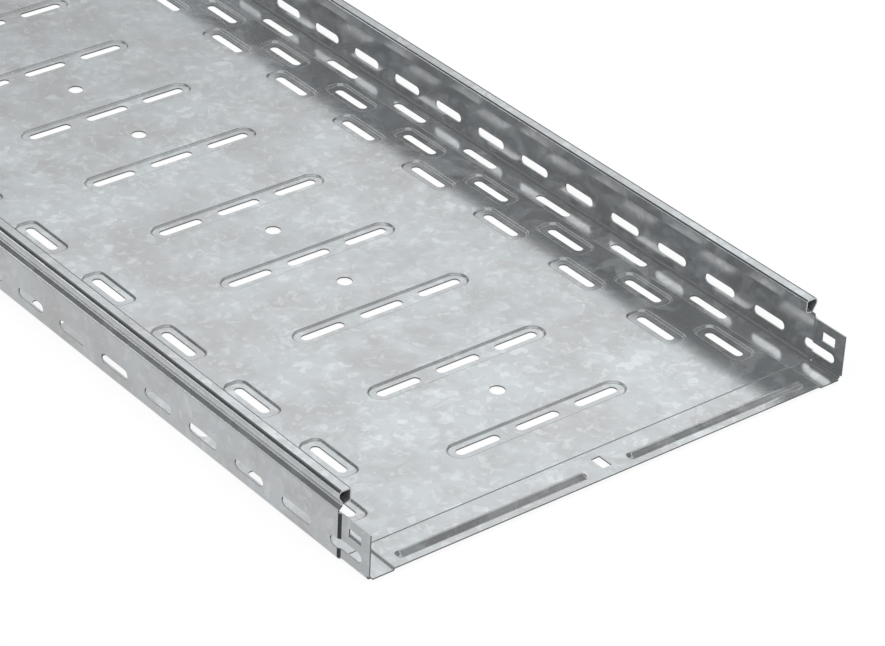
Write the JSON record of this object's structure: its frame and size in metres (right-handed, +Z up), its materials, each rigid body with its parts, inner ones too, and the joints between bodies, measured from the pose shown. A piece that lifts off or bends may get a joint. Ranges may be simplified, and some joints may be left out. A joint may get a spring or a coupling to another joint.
{
  "type": "perforated cable tray",
  "caption": "Low sheet-steel channel for cables: embossed floor and side walls with slots, hollow rolled edges, and a joggled connector end that slides into the next length.",
  "frame": {"origin": "middle of the underside of the bounding box, on the surface the tray lies on", "axes": "+X across the tray, +Y along it away from the connector end, +Z up out of the open side"},
  "size_m": [0.4, 2.031, 0.05],
  "materials": {
    "galvanised_steel": "hot-dip galvanised sheet, satin with soft zinc spangle"
  },
  "bodies": {
    "root": {"tray": "galvanised_steel"}
  },
  "joints": []
}
